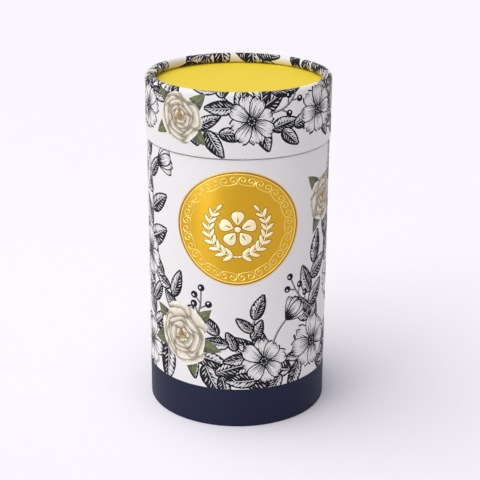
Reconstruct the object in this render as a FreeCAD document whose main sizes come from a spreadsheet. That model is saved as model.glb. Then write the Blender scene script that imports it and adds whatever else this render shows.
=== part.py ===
import FreeCAD, Part
import os

import Sketcher

# Cylindrical gift tube: a rolled-rim lid on a lined neck, a printed body and a banded foot.
# Millimetres, +Z up, origin at the middle of the foot. The label faces -Y.

DRIVING_SIZES = {
    # Whole tube
    "total_height": 140.0,
    "lid_radius": 37.5,
    "lid_height": 26.0,
    "band_height": 16.9,
    # Board walls
    "lid_board": 1.25,
    "body_board": 1.5,
    "neck_board": 1.0,
    "top_board": 1.8,
    "base_board": 2.0,
    # Papers
    "wrap_paper": 0.2,
    "lining_paper": 0.2,
    "edge_round": 0.5,
    "lid_turn_in": 6.0,
    "neck_turn_in": 8.0,
    # Rolled rim and foot
    "curl_radius": 2.0,
    "curl_clearance": 0.05,
    "base_recess": 2.0,
    # Running clearance of the lid on the neck, measured on the radius, and the room above the neck
    "lid_clearance": 0.25,
    "neck_headroom": 1.75,
    # Foil label
    "label_radius": 23.5,
    "label_margin": 4.5,
    "label_foil": 0.15,
    "label_rim_width": 0.9,
    "label_rim_rise": 0.1,
    "cut_overrun": 1.0,
}

doc = FreeCAD.newDocument("gift_tube")
sheet = doc.addObject("Spreadsheet::Sheet", "size")
for row, (alias, number) in enumerate(DRIVING_SIZES.items(), start=1):
    sheet.set(f"A{row}", alias)
    sheet.set(f"B{row}", str(number))
    sheet.setAlias(f"B{row}", alias)
doc.recompute()


class Length:
    """A length tied to the sheet: the expression that binds it, and what it measures now."""

    def __init__(self, text, value):
        self.text = text
        self.value = value

    def __add__(self, other):
        return Length(f"({self.text} + {other.text})", self.value + other.value)

    def __sub__(self, other):
        return Length(f"({self.text} - {other.text})", self.value - other.value)

    def __mul__(self, factor):
        return Length(f"({self.text} * {factor})", self.value * factor)


def size(alias):
    return Length(f"size.{alias}", float(getattr(sheet, alias)))


wrap = size("wrap_paper")
lining = size("lining_paper")
overrun = size("cut_overrun")
fold_out = size("edge_round")
fold_in = fold_out - wrap

# Radii, from the printed lid inwards to the neck and back out to the printed body
lid_out = size("lid_radius")
lid_board_out = lid_out - wrap
lid_board_in = lid_board_out - size("lid_board")
lid_lining_in = lid_board_in - lining
neck_face_out = lid_lining_in - size("lid_clearance")
neck_board_out = neck_face_out - lining
neck_board_in = neck_board_out - size("neck_board")
bore = neck_board_in - lining
body_board_out = neck_board_out + size("body_board")
body_out = body_board_out + wrap
turned_in = neck_board_out - wrap

# Heights, from the foot up
foot = Length("0", 0.0)
base_under = size("base_recess")
base_top = base_under + size("base_board")
floor_top = base_top + lining
band_top = size("band_height")
shoulder = size("total_height") - size("lid_height")
shoulder_board = shoulder - wrap
lid_fold_end = shoulder + size("lid_turn_in")

# Rolled rim: its centre, and the disc that is pushed up under it
curl_out = size("curl_radius")
curl_board_out = curl_out - wrap
curl_board_in = curl_board_out - size("lid_board")
curl_r = lid_out - curl_out
curl_z = size("total_height") - curl_out
disc_top = curl_z - curl_out - size("curl_clearance")
disc_board_top = disc_top - lining
disc_board_under = disc_board_top - size("top_board")
disc_under = disc_board_under - lining

# Neck: it ends a little below the disc
neck_top = disc_under - size("neck_headroom")
neck_board_top = neck_top - lining
neck_fold_end = neck_top - size("neck_turn_in")


def origin_plane(body, role):
    return next(plane for plane in body.Origin.OriginFeatures if plane.Role == role)


def tie(sketch, kind, edge, end, length):
    """Hold one end of an edge at a length from the sketch's origin; a zero length lies on the axis."""
    if length.text == "0":
        line = {"DistanceX": -2, "DistanceY": -1}[kind]
        sketch.addConstraint(Sketcher.Constraint("PointOnObject", edge, end, line))
        return
    number = sketch.addConstraint(Sketcher.Constraint(kind, -1, 1, edge, end, length.value))
    sketch.setExpression(f"Constraints[{number}]", length.text)


def arc_between(start, finish, centre, counter_clockwise):
    """An arc from start to finish about centre, and which of its ends the path enters and leaves by."""
    first, last = (start, finish) if counter_clockwise else (finish, start)
    circle = Part.Circle(centre, FreeCAD.Vector(0, 0, 1), (start - centre).Length)
    arc = Part.ArcOfCircle(circle, circle.parameter(first), circle.parameter(last))
    return arc, ((1, 2) if counter_clockwise else (2, 1))


def revolved(name, corners, bends=None):
    """A body turned about Z from a closed profile of (radius, height) corners.

    bends holds, for each corner that an arc starts from, that arc's centre and whether it runs
    counter-clockwise; every other edge is straight.
    """
    bends = bends or {}
    body = doc.addObject("PartDesign::Body", name)
    sketch = body.newObject("Sketcher::SketchObject", f"{name}_profile")
    sketch.AttachmentSupport = [(origin_plane(body, "XZ_Plane"), "")]
    sketch.MapMode = "FlatFace"
    points = [FreeCAD.Vector(r.value, z.value, 0) for r, z in corners]
    ends = []
    for here, start in enumerate(points):
        finish = points[(here + 1) % len(points)]
        if here in bends:
            (r, z), counter_clockwise = bends[here]
            centre = FreeCAD.Vector(r.value, z.value, 0)
            edge, pair = arc_between(start, finish, centre, counter_clockwise)
        else:
            edge, pair = Part.LineSegment(start, finish), (1, 2)
        sketch.addGeometry(edge, False)
        ends.append(pair)
    for here, (r, z) in enumerate(corners):
        before = here - 1 if here else len(corners) - 1
        sketch.addConstraint(
            Sketcher.Constraint("Coincident", before, ends[before][1], here, ends[here][0])
        )
        tie(sketch, "DistanceX", here, ends[here][0], r)
        tie(sketch, "DistanceY", here, ends[here][0], z)
        if here in bends:
            tie(sketch, "DistanceX", here, 3, bends[here][0][0])
    turn = body.newObject("PartDesign::Revolution", f"{name}_turn")
    turn.Profile = sketch
    turn.ReferenceAxis = (sketch, ["V_Axis"])
    turn.Angle = 360.0
    return body


def sleeve(name, inner, outer, low, high):
    return revolved(name, [(inner, low), (outer, low), (outer, high), (inner, high)])


def disc(name, radius, under, thickness):
    """A round sheet or board, cut flat and padded up from its underside."""
    body = doc.addObject("PartDesign::Body", name)
    sketch = body.newObject("Sketcher::SketchObject", f"{name}_outline")
    sketch.AttachmentSupport = [(origin_plane(body, "XY_Plane"), "")]
    sketch.MapMode = "FlatFace"
    sketch.setExpression("AttachmentOffset.Base.z", under.text)
    circle = Part.Circle(FreeCAD.Vector(0, 0, 0), FreeCAD.Vector(0, 0, 1), radius.value)
    sketch.addGeometry(circle, False)
    sketch.addConstraint(Sketcher.Constraint("Coincident", 0, 3, -1, 1))
    number = sketch.addConstraint(Sketcher.Constraint("Radius", 0, radius.value))
    sketch.setExpression(f"Constraints[{number}]", radius.text)
    pad = body.newObject("PartDesign::Pad", f"{name}_pad")
    pad.Profile = sketch
    pad.Length = thickness.value
    pad.setExpression("Length", thickness.text)
    return body


def lid_tube():
    """Wound board wall, rolled inwards at the top through three quarters of a turn."""
    low = shoulder + wrap
    corners = [
        (lid_board_in, low),
        (lid_board_out - fold_in, low),
        (lid_board_out, low + fold_in),
        (lid_board_out, curl_z),
        (curl_r, curl_z - curl_board_out),
        (curl_r, curl_z - curl_board_in),
        (lid_board_in, curl_z),
    ]
    bends = {
        1: ((lid_board_out - fold_in, low + fold_in), True),
        3: ((curl_r, curl_z), True),
        5: ((curl_r, curl_z), False),
    }
    return revolved("lid_tube", corners, bends)


def lid_wrap():
    """Printed paper: turned in at the lower edge, up the wall and round the rolled rim."""
    low = shoulder + wrap
    corners = [
        (lid_lining_in, lid_fold_end),
        (lid_lining_in, shoulder),
        (lid_out - fold_out, shoulder),
        (lid_out, shoulder + fold_out),
        (lid_out, curl_z),
        (curl_r, curl_z - curl_out),
        (curl_r, curl_z - curl_board_out),
        (lid_board_out, curl_z),
        (lid_board_out, shoulder + fold_out),
        (lid_out - fold_out, low),
        (lid_board_in, low),
        (lid_board_in, lid_fold_end),
    ]
    fold_centre = (lid_out - fold_out, shoulder + fold_out)
    bends = {
        2: (fold_centre, True),
        4: ((curl_r, curl_z), True),
        6: ((curl_r, curl_z), False),
        8: (fold_centre, False),
    }
    return revolved("lid_wrap", corners, bends)


def body_tube():
    """Wound board wall of the body, with both cut ends eased for the papers that fold over them."""
    corners = [
        (neck_board_out, wrap),
        (body_board_out - fold_in, wrap),
        (body_board_out, fold_out),
        (body_board_out, shoulder - fold_out),
        (body_board_out - fold_in, shoulder_board),
        (neck_board_out, shoulder_board),
    ]
    bends = {
        1: ((body_board_out - fold_in, fold_out), True),
        3: ((body_board_out - fold_in, shoulder - fold_out), True),
    }
    return revolved("body_tube", corners, bends)


def body_wrap():
    """Printed paper on the body wall, folded in over the shoulder as far as the neck."""
    corners = [
        (body_board_out, band_top),
        (body_out, band_top),
        (body_out, shoulder - fold_out),
        (body_out - fold_out, shoulder),
        (neck_board_out, shoulder),
        (neck_board_out, shoulder_board),
        (body_out - fold_out, shoulder_board),
        (body_board_out, shoulder - fold_out),
    ]
    fold_centre = (body_out - fold_out, shoulder - fold_out)
    bends = {2: (fold_centre, True), 6: (fold_centre, False)}
    return revolved("body_wrap", corners, bends)


def base_band():
    """Plain paper band round the foot, folded under the wall and turned up inside it."""
    corners = [
        (turned_in, base_top),
        (turned_in, foot),
        (body_out - fold_out, foot),
        (body_out, fold_out),
        (body_out, band_top),
        (body_board_out, band_top),
        (body_board_out, fold_out),
        (body_out - fold_out, wrap),
        (neck_board_out, wrap),
        (neck_board_out, base_top),
    ]
    fold_centre = (body_out - fold_out, fold_out)
    bends = {2: (fold_centre, True), 6: (fold_centre, False)}
    return revolved("base_band", corners, bends)


def neck_facing():
    """Paper on the part of the neck that the lid covers, folded over its rim and down inside."""
    corners = [
        (neck_board_out, shoulder),
        (neck_face_out, shoulder),
        (neck_face_out, neck_top - fold_out),
        (neck_face_out - fold_out, neck_top),
        (bore, neck_top),
        (bore, neck_fold_end),
        (neck_board_in, neck_fold_end),
        (neck_board_in, neck_board_top),
        (neck_face_out - fold_out, neck_board_top),
        (neck_board_out, neck_top - fold_out),
    ]
    fold_centre = (neck_face_out - fold_out, neck_top - fold_out)
    bends = {2: (fold_centre, True), 8: (fold_centre, False)}
    return revolved("neck_facing", corners, bends)


def neck_tube():
    """Inner board tube: it stands on the base and rises past the shoulder to carry the lid."""
    eased = neck_top - fold_out
    corners = [
        (neck_board_in, floor_top),
        (neck_board_out, floor_top),
        (neck_board_out, eased),
        (neck_face_out - fold_out, neck_board_top),
        (neck_board_in, neck_board_top),
    ]
    bends = {2: ((neck_face_out - fold_out, eased), True)}
    return revolved("neck_tube", corners, bends)


def cylinder(name, radius, height, low=None, facing_front=False):
    """A plain cylinder that a cut or a punch is made from, upright or lying along -Y at its height."""
    solid = doc.addObject("Part::Cylinder", name)
    solid.setExpression("Radius", radius.text)
    solid.setExpression("Height", height.text)
    if facing_front:
        solid.Placement.Rotation = FreeCAD.Rotation(FreeCAD.Vector(1, 0, 0), 90)
    if low is not None:
        solid.setExpression("Placement.Base.z", low.text)
    return solid


def boolean(kind, name, base, tool):
    result = doc.addObject(kind, name)
    result.Base = base
    result.Tool = tool
    return result


def curved_layer(name, inner, thickness, low, height):
    """A thin upright ring that the label's pieces are punched from."""
    outside = cylinder(f"{name}_outside", inner + thickness, height, low)
    inside = cylinder(f"{name}_inside", inner, height, low)
    return boolean("Part::Cut", name, outside, inside)


def label():
    """Round foil label with a raised rim line, punched square to the front and hung below the lid."""
    radius = size("label_radius")
    centre = shoulder - size("label_margin") - radius
    foil = size("label_foil")
    rise = size("label_rim_rise")
    reach = body_out + foil + rise + overrun
    low = centre - radius - overrun
    height = (radius + overrun) * 2
    sheet_layer = curved_layer("label_sheet", body_out, foil, low, height)
    rim_layer = curved_layer("label_rim", body_out + foil, rise, low, height)
    punch = cylinder("label_punch", radius, reach, centre, facing_front=True)
    rim_hole = cylinder(
        "label_rim_hole", radius - size("label_rim_width"), reach, centre, facing_front=True
    )
    rim_ring = boolean("Part::Cut", "label_rim_ring", punch, rim_hole)
    face = boolean("Part::Common", "label_face", sheet_layer, punch)
    rim = boolean("Part::Common", "label_rim_line", rim_layer, rim_ring)
    return boolean("Part::Fuse", "label", face, rim)


pieces = [
    lid_tube(),
    lid_wrap(),
    sleeve("lid_lining", lid_lining_in, lid_board_in, lid_fold_end, disc_under),
    disc("lid_top_paper", lid_board_in, disc_board_top, lining),
    disc("lid_top_board", lid_board_in, disc_board_under, size("top_board")),
    disc("lid_under_paper", lid_board_in, disc_under, lining),
    body_tube(),
    body_wrap(),
    base_band(),
    label(),
    neck_tube(),
    neck_facing(),
    sleeve("neck_lining", bore, neck_board_in, floor_top, neck_fold_end),
    disc("base_lining", neck_board_out, base_top, lining),
    disc("base_board", turned_in, base_under, size("base_board")),
    disc("base_paper", turned_in, base_under - lining, lining),
]
doc.recompute()

for item in doc.Objects:
    if {"Invalid", "Error"} & set(item.State):
        raise RuntimeError(f"{item.Label} failed: {item.State}")
for piece in pieces:
    if piece.Shape.isNull() or not piece.Shape.isValid() or not piece.Shape.Solids:
        raise RuntimeError(f"{piece.Label} has no valid solid")

os.makedirs("parts", exist_ok=True)
for piece in pieces:
    piece.Shape.exportStep(f"parts/{piece.Label}.step")
    print(piece.Label, round(piece.Shape.Volume, 2), "mm3")
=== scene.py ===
import math
import random
from functools import partialmethod

import bpy
import numpy as np
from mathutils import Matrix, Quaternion, Vector
from mathutils.geometry import delaunay_2d_cdt


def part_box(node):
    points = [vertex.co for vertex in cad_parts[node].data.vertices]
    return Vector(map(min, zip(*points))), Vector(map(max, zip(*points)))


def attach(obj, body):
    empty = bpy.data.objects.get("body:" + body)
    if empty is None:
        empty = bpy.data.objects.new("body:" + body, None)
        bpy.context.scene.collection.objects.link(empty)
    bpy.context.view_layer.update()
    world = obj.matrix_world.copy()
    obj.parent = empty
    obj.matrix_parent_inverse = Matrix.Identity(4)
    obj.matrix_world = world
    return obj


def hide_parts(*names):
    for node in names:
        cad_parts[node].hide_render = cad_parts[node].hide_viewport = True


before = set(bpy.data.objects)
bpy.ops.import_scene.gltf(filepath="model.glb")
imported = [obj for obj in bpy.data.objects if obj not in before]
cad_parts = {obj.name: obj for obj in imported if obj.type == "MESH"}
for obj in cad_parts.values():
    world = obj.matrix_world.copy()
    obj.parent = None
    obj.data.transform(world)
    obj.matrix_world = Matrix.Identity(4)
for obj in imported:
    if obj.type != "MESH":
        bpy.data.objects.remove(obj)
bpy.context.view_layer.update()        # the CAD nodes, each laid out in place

MM = 0.001


def box_low(node):
    """Lowest corner of a CAD node's box, in millimetres."""
    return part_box(node)[0] / MM


def box_high(node):
    """Highest corner of a CAD node's box, in millimetres."""
    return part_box(node)[1] / MM


# Sizes of the pieces in millimetres, read from the CAD boxes
LID_RADIUS = box_high("lid_wrap").x
RIM_TOP = box_high("lid_wrap").z
SEAM = box_low("lid_wrap").z
BODY_RADIUS = box_high("body_wrap").x
SHOULDER = box_high("body_wrap").z
BAND_TOP = box_low("body_wrap").z
BOARD_RADIUS = box_high("body_tube").x
PAPER = BODY_RADIUS - BOARD_RADIUS
BASE_RADIUS = box_high("base_board").x
BASE_TOP = box_high("base_board").z
FLOOR_TOP = box_high("base_lining").z
NECK_RADIUS = box_high("neck_tube").x
NECK_FACE = box_high("neck_facing").x
NECK_TOP = box_high("neck_facing").z
LINING_RADIUS = box_high("neck_lining").x
LINING_TOP = box_high("neck_lining").z
BORE = LINING_RADIUS - PAPER
LID_BOARD_INSIDE = box_high("lid_lining").x
LID_INSIDE = LID_BOARD_INSIDE - PAPER
LID_FOLD_END = box_low("lid_lining").z
DISC_UNDER = box_high("lid_lining").z
LABEL_RADIUS = box_high("label").x
LABEL_CENTRE = (box_low("label").z + box_high("label").z) / 2

# Sizes that the boxes do not show, in millimetres
FOLD = 0.5            # radius of a folded paper edge
LID_FOLD = 0.75       # radius of the lid's lower edge
SEAM_EASE = 0.15      # how far each printed paper stands back from the seam
CURL = 2.0            # radius of the rolled rim
FOIL = 0.15           # thickness of the label
SAME_POINT = 1e-3     # points nearer than this are one

# Steps of the round shapes, and the sharpest edges that are shaded smooth
FOLD_STEPS, LID_FOLD_STEPS, CURL_STEPS = 4, 5, 20
SHEET_COLUMNS = 120
TURN_STEPS = 180
PAPER_SMOOTH, LABEL_SMOOTH = math.radians(40), math.radians(35)


# Shaping

def deselect():
    """Leaves edit mode, with nothing selected."""
    if bpy.context.object and bpy.context.object.mode != "OBJECT":
        bpy.ops.object.mode_set(mode="OBJECT")
    bpy.ops.object.select_all(action="DESELECT")


def named(name):
    """Gives the active object and its data a name."""
    piece = bpy.context.object
    piece.name = name
    piece.data.name = name
    return piece


def linked(name, data):
    """A new object that holds a mesh or curve made in code."""
    piece = bpy.data.objects.new(name, data)
    bpy.context.scene.collection.objects.link(piece)
    return piece


def merge_points():
    """In edit mode, joins points that lie at the same place and leaves all selected."""
    bpy.ops.mesh.select_all(action="SELECT")
    bpy.ops.mesh.remove_doubles(threshold=SAME_POINT * MM)


def dressed(piece, materials, body, slot, *replaced):
    """Gives a finished piece its materials, its body and the nodes that it stands for; slot is not used."""
    for material in materials:
        piece.data.materials.append(material)
    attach(piece, body)
    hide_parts(*replaced)
    return piece


def arc(centre, radius, start, end, steps):
    """Points of an arc in the (radius, height) plane, angles in degrees."""
    turns = np.radians(np.linspace(start, end, steps + 1))
    return [(centre[0] + radius * math.cos(turn), centre[1] + radius * math.sin(turn)) for turn in turns]


def turned(name, profile):
    """A closed profile of (radius, height) points, drawn point by point and spun about the axis."""
    deselect()
    bpy.ops.mesh.primitive_plane_add(size=MM)
    piece = named(name)
    bpy.ops.object.mode_set(mode="EDIT")
    bpy.ops.mesh.merge(type="CENTER")
    points = [Vector((radius, 0, height)) * MM for radius, height in profile]
    bpy.ops.transform.translate(value=points[0])
    for before, after in zip(points, points[1:] + points[:1]):
        bpy.ops.mesh.extrude_vertices_move(TRANSFORM_OT_translate={"value": after - before})
    merge_points()
    bpy.ops.mesh.spin(steps=TURN_STEPS, angle=math.tau, center=(0, 0, 0), axis=(0, 0, 1))
    merge_points()
    bpy.ops.mesh.normals_make_consistent(inside=False)
    bpy.ops.object.mode_set(mode="OBJECT")
    bpy.ops.object.shade_smooth_by_angle(angle=PAPER_SMOOTH)
    return piece


# Print design, in millimetres on the unrolled sheet: x along the turn, y up the wall

BLANK, INK, INK_PETAL, INK_LEAF, INK_TWIG = "blank", "ink", "ink_petal", "ink_leaf", "ink_twig"
CREAM, OLIVE, POLLEN, SHADE = "cream", "olive", "pollen", "shade"
FINISHES = [BLANK, INK, INK_PETAL, INK_LEAF, INK_TWIG, CREAM, OLIVE, POLLEN]
# Finishes whose colour follows the shape along and across
FOLLOWED = [INK_PETAL, INK_LEAF, INK_TWIG, CREAM, OLIVE]

# Swell from base and tip of each kind of shape, with what its tip has
ROUND = dict(base_share=0.5, tip_share=0.5)
LEAF = dict(base_share=0.62, tip_share=0.92)
SEPAL = dict(base_share=0.5, tip_share=1.3)
COSMOS_PETAL = dict(base_share=0.95, tip_share=0.34, blunt=0.55, teeth=0.09, columns=4)
BELL_PETAL = dict(base_share=0.8, tip_share=0.5, notch=0.05)
BUD_PETAL = dict(base_share=0.6, tip_share=0.9)
BLOOM_PETAL = dict(base_share=0.9, tip_share=0.32)
# Least half width of a shape at its ends, as a share of the full one
POINTED = 0.04
# Powers that keep notches and teeth near the tip, and narrow a notch
TIP_POWER, NOTCH_POWER = 6, 1.5
DOT_ROWS = 4

# Ink lines round petals, leaves, twigs and berries, and the shade round a green leaf
PETAL_LINE, LEAF_LINE, TWIG_LINE, BERRY_LINE = 0.5, 0.52, 0.2, 0.2
OLIVE_SHADE = 0.5

# Widths of twigs and stalks at their start and end
SPRAY_TWIG, BERRY_TWIG, STALK, BERRY_STALK = (1.2, 0.55), (0.5, 0.3), (0.55, 0.4), (0.25, 0.25)
TWIG_POINTS = 13

# Leaves of a spray: first place and run along the twig, what the length loses on the way, width as a share
# of length, size of the end leaf, and the ranges of size, width, lean and bend
SPRAY_FIRST, SPRAY_RUN, SPRAY_TAPER = 0.14, 0.82, 0.2
LEAF_SLIM, END_LEAF = 0.5, 0.9
LEAF_SIZES, LEAF_WIDTHS, LEAF_LEANS, LEAF_BENDS = (0.8, 1.15), (0.85, 1.15), (0.6, 1.0), (0.02, 0.2)
FREE_BENDS = -0.16, 0.16

# Open ink flower: petals, their width beside that of touching ones, and the ranges of turn, length, width
# and bend; its button and the dots on it as shares of the radius
COSMOS_PETALS, COSMOS_FULLNESS = 8, 1.66
PETAL_TURNS, PETAL_LENGTHS = (-0.09, 0.09), (0.9, 1.06)
PETAL_WIDTHS, PETAL_BENDS = (0.92, 1.06), (-0.06, 0.06)
COSMOS_BUTTON, COSMOS_DOTS, DOT_REACH, DOT_SIZE = 0.42, 7, 0.1, 0.5

# Side-on ink flower: lean of each petal, and its length and width as shares of the flower's length
BELL_PETALS = [
    (-0.52, 0.94, 0.4), (0.52, 0.94, 0.4), (-0.24, 1.0, 0.44), (0.24, 1.0, 0.44), (0.0, 0.96, 0.46),
]
BELL_FLARE, BELL_SPREAD = 0.45, 0.8
BELL_SEPALS, BELL_SEPAL = (-0.85, -0.3, 0.3, 0.85), 0.42

# Closed ink flower: leans of its petals and sepals, and their sizes as shares of its length
BUD_PETALS, BUD_WIDTH, BUD_CLOSING = (-0.2, 0.2, 0.0), 0.42, 0.5
BUD_SEPALS, BUD_SEPAL = (-0.5, 0.0, 0.5), 0.5
SEPAL_SLIM = 0.32

# Berries: first place along the twig, lean and length of a stalk, and size and place of the glint
BERRY_FIRST, BERRY_LEAN, BERRY_STALK_LENGTH = 0.35, 0.8, 1.2
GLINT_LENGTH, GLINT_WIDTH, GLINT_ALONG, GLINT_ACROSS = 0.42, 0.3, 0.3, 0.18

# Cream flower: petals in each ring, and their length and width as shares of its radius; the ranges of turn,
# length, width, notch and bend; how far a petal's shades reach past it; and the pollen heads
BLOOM_RINGS = [(7, 1.0, 0.94), (6, 0.8, 0.84), (5, 0.6, 0.72), (5, 0.42, 0.5), (3, 0.24, 0.36)]
RING_TURNS, BLOOM_TURNS, BLOOM_LENGTHS = (0, 1.0), (-0.12, 0.12), (0.86, 1.12)
BLOOM_WIDTHS, BLOOM_NOTCHES, BLOOM_BENDS = (0.9, 1.1), (0.0, 0.07), (-0.08, 0.08)
BLOOM_SHADES = 1.5, 1.0, 0.6, 0.25
POLLEN_HEADS, POLLEN_LENGTH, POLLEN_WIDTH, POLLEN_REACH = 17, 0.9, 0.7, 0.2
POLLEN_TURNS, POLLEN_REACHES = (-0.3, 0.3), (0.2, 1.1)


def blade(
    length, width, base_share, tip_share,
    bend=0.0, notch=0.0, teeth=0.0, blunt=POINTED, grow=0.0, rows=8, columns=2,
):
    """Grid of points of a petal or leaf that lies along +x from the origin.

    The shares say how slowly it swells from its base and narrows to its tip, and grow widens it all round.
    """
    along = (1 - np.cos(np.linspace(0, math.pi, rows + 1))) / 2
    across = np.linspace(-1, 1, columns + 1)
    peak = base_share / (base_share + tip_share)
    swell = along**base_share * (1 - along) ** tip_share
    swell = swell / (peak**base_share * (1 - peak) ** tip_share)
    least = np.where(along > peak, blunt, POINTED)
    half = np.maximum(swell, least) * width / 2 + grow
    dip = notch * (1 - np.abs(across)) ** NOTCH_POWER + teeth * np.sin(across * math.pi) ** 2
    x = (length + 2 * grow) * along - grow
    x = x[:, None] * (1 - (along**TIP_POWER)[:, None] * dip)
    y = half[:, None] * across + bend * length * (along**2)[:, None]
    return np.stack([x, y], axis=-1)


def rotation(angle):
    """Matrix that turns flat points by an angle."""
    return np.array([[math.cos(angle), -math.sin(angle)], [math.sin(angle), math.cos(angle)]])


def cross(a, b):
    """Cross product of flat vectors."""
    return a[..., 0] * b[..., 1] - a[..., 1] * b[..., 0]


def rim_of(grid):
    """The border of a grid, once round."""
    return np.concatenate([grid[:-1, 0], grid[-1, :-1], grid[:0:-1, -1], grid[0, :0:-1]])


class Patch:
    """One printed shape: a finish, a grid of points, and a seed for its strokes."""

    NO_AREA, FAR = 1e-9, 1e9

    def __init__(self, finish, grid, seed):
        self.finish, self.grid, self.seed = finish, grid, seed
        self.low, self.high = grid.min(axis=(0, 1)), grid.max(axis=(0, 1))
        steps = np.linalg.norm(np.diff(self.middle(), axis=0), axis=1)
        along = np.concatenate([[0.0], np.cumsum(steps)])
        across = np.linspace(-1, 1, grid.shape[1])
        places = np.stack(np.meshgrid(along / along[-1], across, indexing="ij"), axis=-1)
        self.corners, self.places = self.halves(grid), self.halves(places)

    def middle(self):
        """Points of the line from base to tip."""
        return self.grid[:, self.grid.shape[1] // 2]

    @staticmethod
    def halves(grid):
        """Both triangles of every cell of a grid."""
        a, b, c, d = grid[:-1, :-1], grid[1:, :-1], grid[1:, 1:], grid[:-1, 1:]
        first, second = np.stack([a, b, c], axis=-2), np.stack([a, c, d], axis=-2)
        return np.concatenate([first.reshape(-1, 3, 2), second.reshape(-1, 3, 2)])

    def moved(self, shift):
        """The same shape further along the turn."""
        return Patch(self.finish, self.grid + np.array([shift, 0.0]), self.seed)

    def find(self, spots):
        """How far outside the shape each spot lies, below 0 when inside, and its place along and across."""
        start = self.corners[:, 0]
        one, two = self.corners[:, 1] - start, self.corners[:, 2] - start
        area = cross(one, two)
        area = np.where(np.abs(area) < self.NO_AREA, np.nan, area)
        away = spots[:, None] - start
        s, t = cross(away, two) / area, cross(one, away) / area
        outside = np.nan_to_num(np.maximum(np.maximum(-s, -t), s + t - 1), nan=self.FAR)
        nearest = outside.argmin(axis=1)
        rows = np.arange(len(spots))
        s, t = s[rows, nearest][:, None], t[rows, nearest][:, None]
        p0, p1, p2 = (self.places[nearest, corner] for corner in range(3))
        return outside[rows, nearest], p0 + s * (p1 - p0) + t * (p2 - p0)

    def lines(self):
        """The outline, and the middle line where the colour follows the shape, as pairs of points."""
        rim = rim_of(self.grid)
        pairs = [np.stack([rim, np.roll(rim, -1, axis=0)], axis=1)]
        if self.finish in FOLLOWED:
            middle = self.middle()
            pairs.append(np.stack([middle[:-1], middle[1:]], axis=1))
        return np.concatenate(pairs)


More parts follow.
